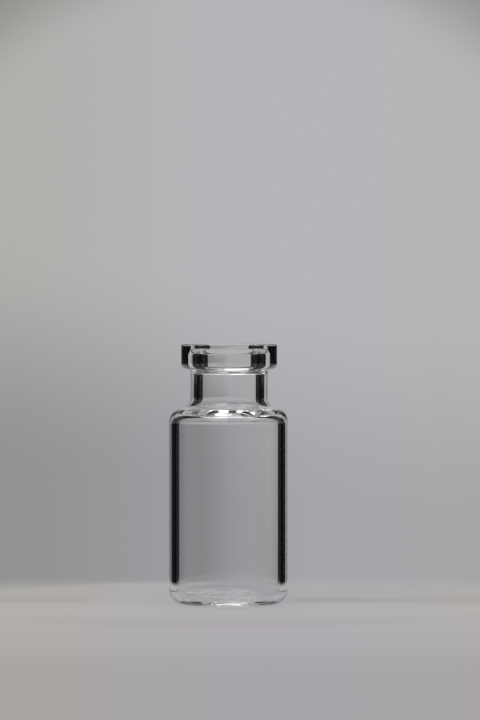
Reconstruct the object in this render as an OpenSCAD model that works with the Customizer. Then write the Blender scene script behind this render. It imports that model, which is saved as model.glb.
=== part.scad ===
// Open crimp-neck sample vial, drawn and rolled from one length of clear glass tube.
// One half-section of the glass, with every edge rounded by a true arc, turns about the Z axis.
// The origin is the middle of the foot, where the vial stands.

/* [Body] */
// Outside diameter of the body tube
body_d = 16; // [14:0.5:22]
// Wall thickness of the body tube
body_wall = 1; // [0.8:0.05:1.4]
// Height from the foot to the top of the lip
vial_h = 35; // [30:0.5:60]

/* [Base] */
// Thickness of the glass across the bottom
base_t = 1; // [0.7:0.05:1.6]
// Rounding between the wall and the foot
base_r = 1.8; // [0.8:0.1:2]
// Rounding between the wall and the floor of the hollow
floor_r = 0.75; // [0.5:0.05:2]
// Inside diameter of the flat ring that the vial stands on
foot_d = 11.2; // [9:0.1:12]
// Diameter of the level middle of the pushed-up bottom
push_up_d = 4; // [2:0.5:8]
// How far the middle of the bottom is pushed up
push_up = 0.5; // [0.1:0.05:0.6]

/* [Shoulder] */
// Slope of the shoulder's outer face below level, in degrees
shoulder_slope = 20; // [8:1:30]
// Slope of the shoulder's inner face below level, in degrees
shoulder_in_slope = 22; // [8:1:30]
// Thickness of the glass where the shoulder meets the neck
shoulder_t = 1.1; // [0.8:0.05:1.3]
// Outer rounding from the body into the shoulder
shoulder_r = 1.95; // [1.5:0.05:2.5]
// Inner rounding from the body into the shoulder
shoulder_in_r = 1; // [0.6:0.1:1.6]

/* [Neck] */
// Outside diameter of the neck
neck_d = 10.4; // [10:0.05:11]
// Bore of the neck below the ledge
neck_bore_d = 8.05; // [7.5:0.05:8.3]
// Height of the neck from the shoulder's edge to the underside of the flange
neck_h = 4.65; // [4:0.05:10]
// Outer rounding between the shoulder and the neck
neck_fillet_r = 1.05; // [0.8:0.05:1.8]
// Inner rounding between the shoulder and the neck
neck_in_r = 2.4; // [1:0.1:3]

/* [Flange] */
// Outside diameter of the crimping flange
flange_d = 12.95; // [12:0.05:14]
// Height of the crimping flange
flange_h = 3.55; // [3.3:0.05:4]
// How far the flange's top falls from the lip to its edge
flange_fall = 0.15; // [0.05:0.05:0.3]
// Rounding of the flange's upper edge
flange_top_r = 0.25; // [0.15:0.05:0.5]
// Rounding of the flange's lower edge
flange_low_r = 0.85; // [0.3:0.05:1]
// Rounding between the flange and the neck
under_flange_r = 0.4; // [0.2:0.05:0.5]

/* [Mouth] */
// Bore of the mouth, where the stopper's plug seals
mouth_d = 7; // [6.5:0.05:7.2]
// Rounding of the lip's inner edge
lip_r = 0.3; // [0.2:0.05:0.4]
// Height of the lip down to the stopper groove
lip_h = 0.8; // [0.7:0.05:1.1]
// Diameter of the groove that locks the stopper
groove_d = 7.55; // [7.3:0.05:7.8]
// Height of the groove between its edges
groove_h = 2.55; // [2:0.05:2.7]
// Height of the groove's long upper side
groove_top_h = 0.7; // [0.4:0.05:0.9]
// Height of the groove's lower side and of the ledge's underside
groove_side_h = 0.3; // [0.2:0.05:0.45]
// Rounding of the groove's upper edges
groove_top_r = 0.7; // [0.3:0.05:0.9]
// Rounding of the groove's lower edge, and where the ledge's underside meets the neck's bore
groove_low_r = 0.6; // [0.2:0.05:0.7]
// Height of the ledge under the groove
ledge_h = 0.25; // [0.2:0.05:0.5]
// Rounding of the ledge's edges
ledge_r = 0.1; // [0.05:0.05:0.2]

/* [Hidden] */
$fn = 128;

body_rad = body_d / 2;
cavity_rad = body_rad - body_wall;
neck_rad = neck_d / 2;
neck_bore_rad = neck_bore_d / 2;
flange_rad = flange_d / 2;
mouth_rad = mouth_d / 2;
groove_rad = groove_d / 2;

// Levels of the edges, from the top down
flange_z = vial_h - flange_h;
lip_z = vial_h - lip_h;
ledge_z = lip_z - groove_h;
ledge_low_z = ledge_z - ledge_h;
neck_z = flange_z - neck_h;

// Levels of the shoulder's outer and inner faces at a distance r from the axis
function shoulder_z(r) = neck_z - (r - neck_rad) * tan(shoulder_slope);
function shoulder_in_z(r) =
    neck_z - shoulder_t / cos(shoulder_slope) - (r - neck_rad) * tan(shoulder_in_slope);

// Corners of the half-section, anticlockwise from the middle of the bottom: [radius, height, rounding]
outer_edges = [
    [0, push_up, 0],
    [push_up_d / 2, push_up, 2 * base_r],
    [foot_d / 2, 0, 2 * base_r],
    [body_rad, 0, base_r],
    [body_rad, shoulder_z(body_rad), shoulder_r],
    [neck_rad, neck_z, neck_fillet_r],
    [neck_rad, flange_z, under_flange_r],
    [flange_rad, flange_z, flange_low_r],
    [flange_rad, vial_h - flange_fall, flange_top_r],
];
mouth_edges = [
    [mouth_rad, vial_h, lip_r],
    [mouth_rad, lip_z, groove_top_r],
    [groove_rad, lip_z - groove_top_h, groove_top_r],
    [groove_rad, ledge_z + groove_side_h, groove_low_r],
    [mouth_rad, ledge_z, ledge_r],
    [mouth_rad, ledge_low_z, ledge_r],
    [neck_bore_rad, ledge_low_z - groove_side_h, groove_low_r],
];
hollow_edges = [
    [neck_bore_rad, shoulder_in_z(neck_bore_rad), neck_in_r],
    [cavity_rad, shoulder_in_z(cavity_rad), shoulder_in_r],
    [cavity_rad, base_t, floor_r],
    [foot_d / 2 - base_t, base_t, 2 * base_r],
    [push_up_d / 2, base_t + push_up, 2 * base_r],
    [0, base_t + push_up, 0],
];

module vial() {
    color([0.82, 0.86, 0.87, 0.35])
    rotate_extrude()
    rounded_section(concat(outer_edges, mouth_edges, hollow_edges));
}

// A polygon through the corners, with each corner rounded by an arc that touches both its sides.
// Where two arcs would meet on one side, both shrink to fit it.
module rounded_section(edges) {
    count = len(edges);
    at = [for (edge = edges) [edge[0], edge[1]]];
    before = [for (i = [0:count - 1]) at[(i + count - 1) % count] - at[i]];
    after = [for (i = [0:count - 1]) at[(i + 1) % count] - at[i]];
    turn = [for (i = [0:count - 1]) turn_angle(-before[i], after[i])];
    reach = [for (i = [0:count - 1]) edges[i][2] * tan(abs(turn[i]) / 2)];
    room = [for (i = [0:count - 1]) room_for(reach[i], reach[(i + 1) % count], norm(after[i]))];
    difference() {
        union() {
            polygon(at);
            for (i = [0:count - 1])
                if (edges[i][2] > 0 && turn[i] < 0)
                    corner_fill(at[i], before[i], after[i], reach[i], room_at(room, i), turn[i]);
        }
        for (i = [0:count - 1])
            if (edges[i][2] > 0 && turn[i] > 0)
                corner_fill(at[i], before[i], after[i], reach[i], room_at(room, i), turn[i]);
    }
}

// The sliver between a corner and the arc that rounds it, carried a little past the corner
module corner_fill(corner, before, after, reach, room, turn) {
    fit_reach = reach * room;
    round_r = fit_reach / tan(abs(turn) / 2);
    start = fit_reach * before / norm(before);
    end = fit_reach * after / norm(after);
    centre = (start + end) * (1 + (round_r / fit_reach) ^ 2) / 2;
    translate(corner)
    difference() {
        polygon([start, centre, end, -0.2 * centre]);
        translate(centre) circle(round_r);
    }
}

// Signed angle from one direction to the next, positive to the left
function turn_angle(from, to) = atan2(cross(from, to), from * to);
// Share of its reach that an arc can have where it shares a side with the next
function room_for(reach_a, reach_b, side) = min(1, side / max(reach_a + reach_b, 0.001));
function room_at(room, i) = min(room[i], room[(i + len(room) - 1) % len(room)]);

vial();
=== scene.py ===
import math

import bpy
import numpy as np
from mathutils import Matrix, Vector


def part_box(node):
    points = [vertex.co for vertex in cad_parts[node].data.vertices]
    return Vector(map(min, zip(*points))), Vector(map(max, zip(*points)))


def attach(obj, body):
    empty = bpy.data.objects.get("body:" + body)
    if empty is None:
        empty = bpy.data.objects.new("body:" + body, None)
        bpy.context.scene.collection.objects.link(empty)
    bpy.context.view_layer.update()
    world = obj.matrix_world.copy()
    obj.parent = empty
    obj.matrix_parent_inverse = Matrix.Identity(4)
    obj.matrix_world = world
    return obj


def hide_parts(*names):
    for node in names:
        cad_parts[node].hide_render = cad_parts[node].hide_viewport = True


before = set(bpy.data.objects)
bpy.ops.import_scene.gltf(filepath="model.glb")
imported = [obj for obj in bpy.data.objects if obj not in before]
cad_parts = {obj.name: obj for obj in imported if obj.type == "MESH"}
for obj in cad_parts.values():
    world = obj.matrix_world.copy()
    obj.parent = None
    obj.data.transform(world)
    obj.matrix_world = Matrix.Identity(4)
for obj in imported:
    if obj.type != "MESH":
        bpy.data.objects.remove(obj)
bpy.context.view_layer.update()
scene = bpy.context.scene
vialLow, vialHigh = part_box("vial")
mm = 0.001  # a millimetre in metres
print("frame loaded, vial height", round((vialHigh.z - vialLow.z) / mm, 3), "mm")


# helpers for shader nodes: a number, a colour or another node's output goes into a socket
def feed(tree, socket, value):
    if isinstance(value, bpy.types.NodeSocket):
        tree.links.new(value, socket)
    else:
        socket.default_value = value


def newMaterial(name):
    material = bpy.data.materials.new(name)
    material.use_nodes = True
    tree = material.node_tree
    return material, tree, tree.nodes["Principled BSDF"]


def mathNode(tree, operation, *values):
    node = tree.nodes.new("ShaderNodeMath")
    node.operation = operation
    for socket, value in zip(node.inputs, values):
        feed(tree, socket, value)
    return node.outputs[0]


def product(tree, first, *others):
    for other in others:
        first = mathNode(tree, "MULTIPLY", first, other)
    return first


# how far a value is from a middle, whichever side it is on
def aside(tree, value, middle):
    return mathNode(tree, "ABSOLUTE", mathNode(tree, "SUBTRACT", value, middle))


# distance from the middle of a plane: the root of x * x + y * y
def distance(tree, x, y):
    return mathNode(tree, "SQRT", mathNode(tree, "ADD", product(tree, x, x), product(tree, y, y)))


# goes from one level to another while the value crosses the span
def rampNode(tree, value, span, fromLevel, toLevel, course="SMOOTHSTEP"):
    node = tree.nodes.new("ShaderNodeMapRange")
    node.interpolation_type = course
    for socket, amount in zip(node.inputs, (value, *span, fromLevel, toLevel)):
        feed(tree, socket, amount)
    return node.outputs[0]


# 1 in the middle of a soft bump and 0 from its half width outwards
def bump(tree, value, middle, half):
    return rampNode(tree, aside(tree, value, middle), (0, half), 1, 0)


# the first value where the share is 0, and the second where it is 1
def mixValue(tree, share, first, second):
    gap = mathNode(tree, "SUBTRACT", second, first)
    return mathNode(tree, "ADD", first, mathNode(tree, "MULTIPLY", gap, share))


def mixColor(tree, share, first, second):
    node = tree.nodes.new("ShaderNodeMix")
    node.data_type = "RGBA"
    colorSockets = [socket for socket in node.inputs if socket.type == "RGBA"]
    for socket, value in zip([node.inputs["Factor"]] + colorSockets, (share, first, second)):
        feed(tree, socket, value)
    return next(socket for socket in node.outputs if socket.type == "RGBA")


# a screen value from 0 to 255 is linear light of ((value / 255 + 0.055) / 1.055) ^ 2.4
screenTop = 255
curveOffset = 0.055
curvePower = 2.4


def linearLight(level):
    return ((level / screenTop + curveOffset) / (1 + curveOffset)) ** curvePower


def screenLight(tree, level):
    lifted = mathNode(tree, "MULTIPLY_ADD", level, 1 / screenTop, curveOffset)
    return mathNode(tree, "POWER", mathNode(tree, "DIVIDE", lifted, 1 + curveOffset), curvePower)


# a grey of the given screen value, with its red and blue a few values off
def screenColor(tree, level, redOff, blueOff):
    color = tree.nodes.new("ShaderNodeCombineColor")
    for socket, offset in zip(color.inputs, (redOff, 0, blueOff)):
        feed(tree, socket, screenLight(tree, mathNode(tree, "ADD", level, offset)))
    return color.outputs[0]


# the vial: one piece of glass
vialValues = {  # millimetres and degrees, the same section as the solid part
    "height": 35.0, "bodyRadius": 8.0, "cavityRadius": 7.0,
    "baseThickness": 1.0, "baseRound": 1.8, "floorRound": 0.75,
    "footRadius": 5.6, "pushUpRadius": 2.0, "pushUp": 0.5,
    "shoulderSlope": 20.0, "shoulderInnerSlope": 22.0, "shoulderThickness": 1.1,
    "shoulderRound": 1.95, "shoulderInnerRound": 1.0,
    "neckRadius": 5.2, "neckBoreRadius": 4.025, "neckHeight": 4.65, "neckFillet": 1.05, "neckInnerRound": 2.4,
    "flangeRadius": 6.475, "flangeHeight": 3.55, "flangeTopRound": 0.25, "flangeLowRound": 0.85,
    "flangeTopFall": 0.15, "underFlangeRound": 0.4,
    "mouthRadius": 3.5, "lipRound": 0.3, "lipHeight": 0.8, "grooveRadius": 3.775, "grooveHeight": 2.55,
    "grooveTopSide": 0.7, "grooveTopRound": 0.7, "grooveSide": 0.3, "grooveLowRound": 0.6,
    "ledgeHeight": 0.25, "ledgeRound": 0.1,
    "leanX": 0.1, "leanStart": 24.0, "leanHeight": 4.0,  # the neck stands a little to the right
    "stepAngle": 4.0, "leastSteps": 4, "turnSteps": 300,  # how finely the arcs and the turn are stepped
    "longWall": 5.0, "endGap": 0.04,  # walls longer than the first get a point this close to each end
    "ior": 1.49, "roughness": 0.0, "shadowColor": (0.96, 0.96, 0.96, 1.0),
    "clearColor": (0.985, 0.987, 0.988, 1.0), "streakColor": (0.974, 0.977, 0.979, 1.0),
    "streakScale": 260.0, "streakStretch": 0.08, "streakDetail": 3.0,
}
tiny = 1e-6  # millimetres, a length that counts as none


# corners of the half-section as [radius, height, rounding], from the middle of the foot up the outside,
# over the lip and down the inside to the middle of the floor
def sectionCorners(size):
    flangeLow = size["height"] - size["flangeHeight"]
    lipLow = size["height"] - size["lipHeight"]
    ledgeTop = lipLow - size["grooveHeight"]
    ledgeLow = ledgeTop - size["ledgeHeight"]
    slope = math.tan(math.radians(size["shoulderSlope"]))
    innerSlope = math.tan(math.radians(size["shoulderInnerSlope"]))
    drop = size["shoulderThickness"] / math.cos(math.radians(size["shoulderSlope"]))
    neckLow = flangeLow - size["neckHeight"]
    bottomRound = 2 * size["baseRound"]  # the pushed-up bottom bends half as sharply as the foot's edge

    def shoulderLevel(radius):
        return neckLow - (radius - size["neckRadius"]) * slope

    def innerLevel(radius):
        return neckLow - drop - (radius - size["neckRadius"]) * innerSlope

    return [
        [0, size["pushUp"], 0],
        [size["pushUpRadius"], size["pushUp"], bottomRound],
        [size["footRadius"], 0, bottomRound],
        [size["bodyRadius"], 0, size["baseRound"]],
        [size["bodyRadius"], shoulderLevel(size["bodyRadius"]), size["shoulderRound"]],
        [size["neckRadius"], neckLow, size["neckFillet"]],
        [size["neckRadius"], flangeLow, size["underFlangeRound"]],
        [size["flangeRadius"], flangeLow, size["flangeLowRound"]],
        [size["flangeRadius"], size["height"] - size["flangeTopFall"], size["flangeTopRound"]],
        [size["mouthRadius"], size["height"], size["lipRound"]],
        [size["mouthRadius"], lipLow, size["grooveTopRound"]],
        [size["grooveRadius"], lipLow - size["grooveTopSide"], size["grooveTopRound"]],
        [size["grooveRadius"], ledgeTop + size["grooveSide"], size["grooveLowRound"]],
        [size["mouthRadius"], ledgeTop, size["ledgeRound"]],
        [size["mouthRadius"], ledgeLow, size["ledgeRound"]],
        [size["neckBoreRadius"], ledgeLow - size["grooveSide"], size["grooveLowRound"]],
        [size["neckBoreRadius"], innerLevel(size["neckBoreRadius"]), size["neckInnerRound"]],
        [size["cavityRadius"], innerLevel(size["cavityRadius"]), size["shoulderInnerRound"]],
        [size["cavityRadius"], size["baseThickness"], size["floorRound"]],
        [size["footRadius"] - size["baseThickness"], size["baseThickness"], bottomRound],
        [size["pushUpRadius"], size["baseThickness"] + size["pushUp"], bottomRound],
        [0, size["baseThickness"] + size["pushUp"], 0],
    ]


# each corner becomes an arc that touches both its sides: the arc starts at rounding * tan(half the turn)
# before the corner, and where two arcs would meet on one side, both shrink to fit it
def roundedSection(corners, values):
    rows = np.array(corners, float)
    place, rounding = rows[:, :2], rows[:, 2]
    before = np.roll(place, 1, 0) - place
    after = np.roll(place, -1, 0) - place
    turn = np.arctan2(-before[:, 0] * after[:, 1] + before[:, 1] * after[:, 0], -(before * after).sum(1))
    reach = rounding * np.tan(np.abs(turn) / 2)
    side = np.linalg.norm(after, axis=1)
    room = np.minimum(1, side / np.maximum(reach + np.roll(reach, -1), tiny))
    reach = reach * np.minimum(room, np.roll(room, 1))
    points = []
    for corner, back, angle, length in zip(place, before, turn, reach):
        if length < tiny:
            points.append(corner[None])
            continue
        radius = length / math.tan(abs(angle) / 2)
        heading = -back / np.linalg.norm(back)
        inward = np.sign(angle) * np.array([-heading[1], heading[0]])
        centre = corner - length * heading + radius * inward
        steps = max(values["leastSteps"], math.ceil(math.degrees(abs(angle)) / values["stepAngle"]))
        swing = np.linspace(0, abs(angle), steps + 1)[:, None]
        points.append(centre - radius * inward * np.cos(swing) + radius * heading * np.sin(swing))
    return keepStraight(np.vstack(points), values)


# a point close to each end of the long straight walls, so that smooth shading keeps them straight
def keepStraight(points, values):
    along = np.diff(points, axis=0)
    length = np.linalg.norm(along, axis=1)
    rows = [points[:1]]
    for start, end, step, run in zip(points[:-1], points[1:], along, length):
        if run > values["longWall"]:
            inset = values["endGap"] * step / run
            rows.append([start + inset, end - inset])
        rows.append([end])
    return np.vstack(rows)


# the section (radius, height) turned about the Z axis: x = r cos(a), y = r sin(a), z = h, with one point
# where it meets the axis at each end; x then shifts by leanX * (share of the lean's height) ^ 2
def turnedMesh(name, section, values):
    steps = values["turnSteps"]
    ring = section[1:-1]
    angles = np.linspace(0, 2 * np.pi, steps, endpoint=False)
    x = ring[:, :1] * np.cos(angles)
    y = ring[:, :1] * np.sin(angles)
    z = np.repeat(ring[:, 1:], steps, 1)
    leanShare = np.clip((z - values["leanStart"]) / values["leanHeight"], 0, 1)
    points = np.stack([x + values["leanX"] * leanShare ** 2, y, z], 2).reshape(-1, 3)
    points = np.vstack([points, [[0, 0, section[0, 1]], [0, 0, section[-1, 1]]]]) * mm
    row, column = np.meshgrid(np.arange(len(ring) - 1), np.arange(steps), indexing="ij")
    nextColumn = (column + 1) % steps
    quads = np.stack([row * steps + column, row * steps + nextColumn,
                      (row + 1) * steps + nextColumn, (row + 1) * steps + column], 2).reshape(-1, 4)
    turn = np.arange(steps)
    following = (turn + 1) % steps
    lastRing = (len(ring) - 1) * steps
    footFan = np.stack([np.full(steps, len(points) - 2), following, turn], 1)
    floorFan = np.stack([np.full(steps, len(points) - 1), lastRing + turn, lastRing + following], 1)
    mesh = bpy.data.meshes.new(name)
    mesh.from_pydata(points.tolist(), [], quads.tolist() + footFan.tolist() + floorFan.tolist())
    mesh.polygons.foreach_set("use_smooth", np.ones(len(mesh.polygons), bool))
    mesh.update()
    piece = bpy.data.objects.new(name, mesh)
    scene.collection.objects.link(piece)
    return piece


# clear glass with faint lengthwise streaks from the drawing of the tube
def clearGlass(values):
    material, tree, shader = newMaterial("clear glass")
    mapping = tree.nodes.new("ShaderNodeMapping")
    mapping.inputs["Scale"].default_value = (1, 1, values["streakStretch"])
    feed(tree, mapping.inputs["Vector"], tree.nodes.new("ShaderNodeTexCoord").outputs["Object"])
    streaks = tree.nodes.new("ShaderNodeTexNoise")
    streaks.inputs["Scale"].default_value = values["streakScale"]
    streaks.inputs["Detail"].default_value = values["streakDetail"]
    feed(tree, streaks.inputs["Vector"], mapping.outputs["Vector"])
    tone = mixColor(tree, streaks.outputs["Fac"], values["clearColor"], values["streakColor"])
    feed(tree, shader.inputs["Base Color"], tone)
    shader.inputs["Roughness"].default_value = values["roughness"]
    shader.inputs["IOR"].default_value = values["ior"]
    shader.inputs["Transmission Weight"].default_value = 1.0
    letThrough = tree.nodes.new("ShaderNodeBsdfTransparent")
    letThrough.inputs["Color"].default_value = values["shadowColor"]
    surface = shader.outputs[0]
    for ray in ("Is Shadow Ray", "Is Diffuse Ray"):  # lamps and the floor see each other through the glass
        switch = tree.nodes.new("ShaderNodeMixShader")
        share = tree.nodes.new("ShaderNodeLightPath").outputs[ray]
        for socket, value in zip(switch.inputs, (share, surface, letThrough.outputs[0])):
            feed(tree, socket, value)
        surface = switch.outputs[0]
    feed(tree, tree.nodes["Material Output"].inputs["Surface"], surface)
    return material


section = roundedSection(sectionCorners(vialValues), vialValues)
vialGlass = turnedMesh("vialGlass", section, vialValues)
vialGlass.data.materials.append(clearGlass(vialValues))
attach(vialGlass, "root")
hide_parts("vial")
print("glass turned:", len(section), "points in the section,", len(vialGlass.data.polygons), "faces")


floorValues = {  # millimetres, and screen values from 0 to 255
    "reach": 60.0, "fade": (33.0, 42.0), "roughness": 0.9,
    "level": 172.0, "grain": 1.5, "grainScale": 90.0,
    # a painted band of light across the floor in front of the vial
    "paintedLightLift": 6.0, "paintedLightMiddle": -11.0, "paintedLightHalf": 22.0,
    # a painted line of shade across the floor
    "paintedShadeDepth": 11.0, "paintedShadeMiddle": 4.8, "paintedShadeHalf": 6.5,
    "paintedShadeLeft": (-22.0, -15.0), "paintedShadeLeftShare": 0.6,
    "paintedShadeRight": (6.0, 11.0), "paintedShadeFar": (12.0, 28.0), "paintedShadeFarShare": 0.5,
    "warmth": 3.0, "blueMiddle": 6.0, "blueFade": (6.0, 34.0), "middleBlue": 4.0, "sideBlue": -3.0,
}


# a pale sheet, lying flat at the foot, that thins out to nothing all round
def paleFloor(values):
    reach = values["reach"] * mm
    corners = [(-reach, -reach, vialLow.z), (reach, -reach, vialLow.z),
               (reach, reach, vialLow.z), (-reach, reach, vialLow.z)]
    mesh = bpy.data.meshes.new("floor")
    mesh.from_pydata(corners, [], [(0, 1, 2, 3)])
    floor = bpy.data.objects.new("floor", mesh)
    scene.collection.objects.link(floor)
    material, tree, shader = newMaterial("pale floor")
    place = tree.nodes.new("ShaderNodeTexCoord").outputs["Object"]
    axes = tree.nodes.new("ShaderNodeSeparateXYZ")
    feed(tree, axes.inputs[0], place)
    x = mathNode(tree, "DIVIDE", axes.outputs["X"], mm)
    y = mathNode(tree, "DIVIDE", axes.outputs["Y"], mm)
    grain = tree.nodes.new("ShaderNodeTexNoise")
    grain.inputs["Scale"].default_value = values["grainScale"]
    feed(tree, grain.inputs["Vector"], place)
    level = rampNode(tree, grain.outputs["Fac"], (0, 1), values["level"] - values["grain"],
                     values["level"] + values["grain"], "LINEAR")
    # painted light: the floor is brighter in a soft band in front of the vial
    lift = bump(tree, y, values["paintedLightMiddle"], values["paintedLightHalf"])
    level = mathNode(tree, "MULTIPLY_ADD", lift, values["paintedLightLift"], level)
    # a painted line of shade across the sheet, deepest just to the right of the vial and gone behind it
    left = rampNode(tree, x, values["paintedShadeLeft"], values["paintedShadeLeftShare"], 0)
    right = product(tree, rampNode(tree, x, values["paintedShadeRight"], 0, 1),
                    rampNode(tree, x, values["paintedShadeFar"], 1, values["paintedShadeFarShare"]))
    paintedShade = product(tree, bump(tree, y, values["paintedShadeMiddle"], values["paintedShadeHalf"]),
                     mathNode(tree, "ADD", right, left))
    level = mathNode(tree, "MULTIPLY_ADD", paintedShade, -values["paintedShadeDepth"], level)
    blue = rampNode(tree, aside(tree, x, values["blueMiddle"]), values["blueFade"],
                    values["middleBlue"], values["sideBlue"])
    feed(tree, shader.inputs["Base Color"], screenColor(tree, level, values["warmth"], blue))
    shader.inputs["Roughness"].default_value = values["roughness"]
    shader.inputs["Specular IOR Level"].default_value = 0.0
    feed(tree, shader.inputs["Alpha"], rampNode(tree, distance(tree, x, y), values["fade"], 1, 0))
    mesh.materials.append(material)
    return floor


paleFloor(floorValues)
print("floor laid")


# the studio: a pale backdrop and a few pale cards in the dark; bearing 0 is straight behind the vial,
# 90 is to its right, and height 0 is the horizon
backdropValues = {  # degrees, and screen values from 0 to 255
    "bearing": 0.0, "halfWidth": 20.2, "low": -8.0, "high": 60.0,
    "lowFade": (-3.9, 2.0), "lowLeft": 147.0, "lowRight": 165.5,
    "highFade": (-4.9, 0.6), "highLeft": 175.0, "highRight": 181.0,
    "riseMiddle": -1.77, "riseTilt": -0.145, "riseFade": (-1.5, 2.2),  # from the low tones to the high ones
    "frontEdge": (-4.68, -4.38),  # from the backdrop to the tone that carries the floor on
    "frontFade": (-6.0, -5.0), "frontLow": 165.5, "frontHigh": 174.5,
    "cornerShade": 36.0, "cornerMiddle": -1.0, "cornerFade": (5.6, 7.2),  # round a middle below the horizon
    "cornerStart": (1.0, 2.0), "cornerEnd": (4.8, 5.4), "cornerSide": (3.9, 4.5),  # and only between these
    "warmFade": (-1.5, 1.5), "lowWarmth": -1.0, "warmth": 1.5, "frontWarmth": 3.0,
    "blueMiddle": 0.7, "blueFade": (0.5, 4.2), "middleBlue": 4.7, "lowBlue": 0.5, "sideBlue": -2.5,
    "farFade": (4.0, 5.5), "farBlue": 3.0,
}


# the backdrop is darkest low down on the left and palest higher up on the right, bluer in its middle
# and shaded towards its upper corners; at the bottom it takes the floor's tone and carries the floor on
def backdropColor(tree, bearing, height, values):
    lowTone = rampNode(tree, bearing, values["lowFade"], values["lowLeft"], values["lowRight"])
    highTone = rampNode(tree, bearing, values["highFade"], values["highLeft"], values["highRight"])
    middle = mathNode(tree, "MULTIPLY_ADD", bearing, values["riseTilt"], values["riseMiddle"])
    rise = rampNode(tree, mathNode(tree, "SUBTRACT", height, middle), values["riseFade"], 0, 1)
    front = rampNode(tree, height, values["frontEdge"], 1, 0)
    frontTone = rampNode(tree, height, values["frontFade"], values["frontLow"], values["frontHigh"])
    tone = mixValue(tree, front, mixValue(tree, rise, lowTone, highTone), frontTone)
    fromMiddle = distance(tree, bearing, mathNode(tree, "SUBTRACT", height, values["cornerMiddle"]))
    fromAxis = mathNode(tree, "ABSOLUTE", bearing)
    corner = product(tree, rampNode(tree, fromMiddle, values["cornerFade"], 0, values["cornerShade"]),
                     rampNode(tree, height, values["cornerStart"], 0, 1),
                     rampNode(tree, height, values["cornerEnd"], 1, 0),
                     rampNode(tree, fromAxis, values["cornerSide"], 1, 0))
    tone = mathNode(tree, "SUBTRACT", tone, corner)
    lowRed = rampNode(tree, bearing, values["warmFade"], values["lowWarmth"], values["warmth"])
    red = mixValue(tree, front, mixValue(tree, rise, lowRed, values["warmth"]), values["frontWarmth"])
    sideBlue = mixValue(tree, rise, values["lowBlue"], values["sideBlue"])
    sideBlue = mixValue(tree, front, sideBlue, values["sideBlue"])
    blue = rampNode(tree, aside(tree, bearing, values["blueMiddle"]), values["blueFade"],
                    values["middleBlue"], sideBlue)
    blue = mixValue(tree, rampNode(tree, fromAxis, values["farFade"], 0, 1), blue, values["farBlue"])
    return screenColor(tree, tone, red, blue)


cards = [  # degrees, and screen values from 0 to 255; the first lies all round, below the others
    {"bearing": 0, "halfWidth": 181, "low": -91, "high": -4.9, "tone": 168},
    {"bearing": 90, "halfWidth": 6.5, "low": -4.9, "high": 5, "tone": 105},
    {"bearing": -90, "halfWidth": 6.5, "low": -4.9, "high": 5, "tone": 105},
    {"bearing": 180, "halfWidth": 6.5, "low": -4.9, "high": 5, "tone": 85},
]
studioValues = {
    "edge": 0.8,  # degrees over which a card's edge fades
    "dark": 12.0,  # screen value of the room between the cards
    "cardTint": (1.03, 1.0, 1.04),
    "strayShare": 0.2, "strayFirst": 6, "strayLast": 8,
    "strayFade": (2.0, 4.0),  # degrees above the horizon over which the dimming ends
}


# 1 inside a card and 0 outside it: how far the bearing is from its middle, times its low and high edges
def cardShare(tree, bearing, height, card, edge):
    fromMiddle = mathNode(tree, "WRAP", mathNode(tree, "SUBTRACT", bearing, card["bearing"]), 180, -180)

    def edgeSpan(middle):
        return middle - edge / 2, middle + edge / 2

    inside = rampNode(tree, mathNode(tree, "ABSOLUTE", fromMiddle), edgeSpan(card["halfWidth"]), 1, 0)
    return product(tree, inside, rampNode(tree, height, edgeSpan(card["low"]), 0, 1),
                   rampNode(tree, height, edgeSpan(card["high"]), 1, 0))


# light that comes out low after a few weak mirrorings inside the wall is dimmed, so that the dark edges
# stay deep: its ray depth is between the first and the last, and it was mirrored at least once
def strayLight(tree, height, values):
    path = tree.nodes.new("ShaderNodeLightPath")
    depth = path.outputs["Ray Depth"]
    return product(tree, mathNode(tree, "GREATER_THAN", path.outputs["Glossy Depth"], 0),
                   mathNode(tree, "GREATER_THAN", depth, values["strayFirst"] - 1),
                   mathNode(tree, "LESS_THAN", depth, values["strayLast"] + 1),
                   rampNode(tree, height, values["strayFade"], 1, 0))


def studioWorld(values):
    world = bpy.data.worlds.new("studio")
    world.use_nodes = True
    scene.world = world
    tree = world.node_tree
    axes = tree.nodes.new("ShaderNodeSeparateXYZ")
    feed(tree, axes.inputs[0], tree.nodes.new("ShaderNodeTexCoord").outputs["Generated"])
    x, y, z = axes.outputs
    height = mathNode(tree, "DEGREES", mathNode(tree, "ARCSINE", z))
    bearing = mathNode(tree, "DEGREES", mathNode(tree, "ARCTAN2", x, y))
    others = linearLight(values["dark"])
    for card in cards:
        extra = linearLight(card["tone"]) - linearLight(values["dark"])
        share = cardShare(tree, bearing, height, card, values["edge"])
        others = mathNode(tree, "MULTIPLY_ADD", share, extra, others)
    tinted = tree.nodes.new("ShaderNodeCombineColor")
    for socket, share in zip(tinted.inputs, values["cardTint"]):
        feed(tree, socket, product(tree, others, share))
    light = mixColor(tree, cardShare(tree, bearing, height, backdropValues, values["edge"]),
                     tinted.outputs[0], backdropColor(tree, bearing, height, backdropValues))
    background = tree.nodes["Background"]
    feed(tree, background.inputs["Color"], light)
    stray = strayLight(tree, height, values)
    feed(tree, background.inputs["Strength"], mixValue(tree, stray, 1, values["strayShare"]))


studioWorld(studioValues)
print("studio built:", len(cards) + 1, "cards")


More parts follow.
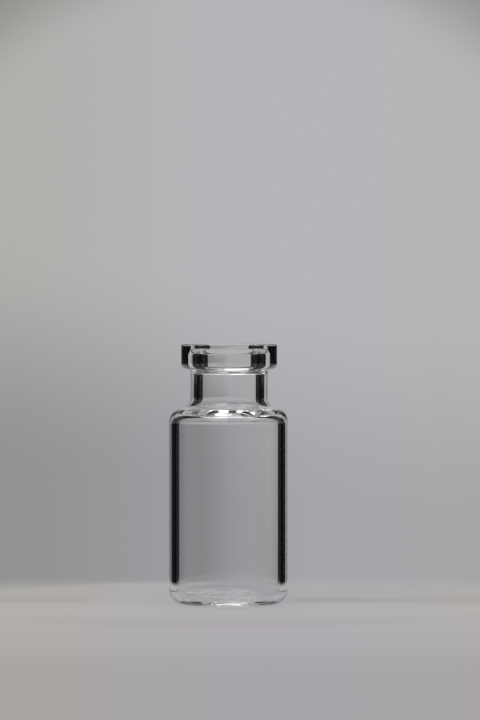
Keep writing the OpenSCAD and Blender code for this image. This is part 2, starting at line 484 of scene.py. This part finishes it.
softBoxes = [  # millimetres; level lamps above and behind the vial, where brightness 1 is white paper's own
    {"name": "left box", "centre": (-106, -100, 400), "width": 188, "depth": 280, "brightness": 2.0},
    {"name": "right box", "centre": (210, -40, 400), "width": 100, "depth": 320, "brightness": 1.5},
    {"name": "back box", "centre": (0, 200, 400), "width": 200, "depth": 200, "brightness": 1.5},
    {"name": "far box", "centre": (90, 500, 400), "width": 240, "depth": 200, "brightness": 1.8},
]
fillLamp = {"name": "fill", "centre": (0, 0, 450), "width": 200, "depth": 200, "share": 0.68}
floorLight = math.pi  # light falling on the floor at which a colour renders as written


# a level lamp facing down; power = brightness * pi * width * depth
def hangLamp(values, power):
    data = bpy.data.lights.new(values["name"], "AREA")
    data.shape = "RECTANGLE"
    data.size = values["width"] * mm
    data.size_y = values["depth"] * mm
    data.energy = power
    lamp = bpy.data.objects.new(values["name"], data)
    lamp.location = np.array(values["centre"], float) * mm
    scene.collection.objects.link(lamp)
    return lamp


for box in softBoxes:
    hangLamp(box, box["brightness"] * math.pi * box["width"] * box["depth"] * mm ** 2)
# the fill brings the floor's light up to the full level and doesn't show in the glass;
# under a small level lamp, light = power / (pi * height ^ 2)
fillHeight = fillLamp["centre"][2] * mm
fill = hangLamp(fillLamp, fillLamp["share"] * floorLight * math.pi * fillHeight ** 2)
fill.visible_glossy = False
fill.visible_transmission = False
print("lamps hung:", len(softBoxes) + 1)


cameraStand = {  # millimetres and degrees
    "lens": 182.4, "sensor": 36.0, "distance": 490.0, "height": 41.2, "aside": 1.55, "tilt": 0.994,
}
cameraData = bpy.data.cameras.new("camera")
cameraData.lens = cameraStand["lens"]
cameraData.sensor_width = cameraStand["sensor"]
camera = bpy.data.objects.new("camera", cameraData)
camera.location = np.array([cameraStand["aside"], -cameraStand["distance"], cameraStand["height"]]) * mm
camera.rotation_euler = (math.radians(90 - cameraStand["tilt"]), 0, 0)
scene.collection.objects.link(camera)
scene.camera = camera
scene.view_settings.view_transform = "Standard"
lightSteps = 32  # light runs a long way inside the glass before it comes out
scene.cycles.max_bounces = lightSteps
scene.cycles.transmission_bounces = lightSteps
scene.cycles.glossy_bounces = lightSteps
print("camera set", cameraStand["distance"], "mm in front of the vial")
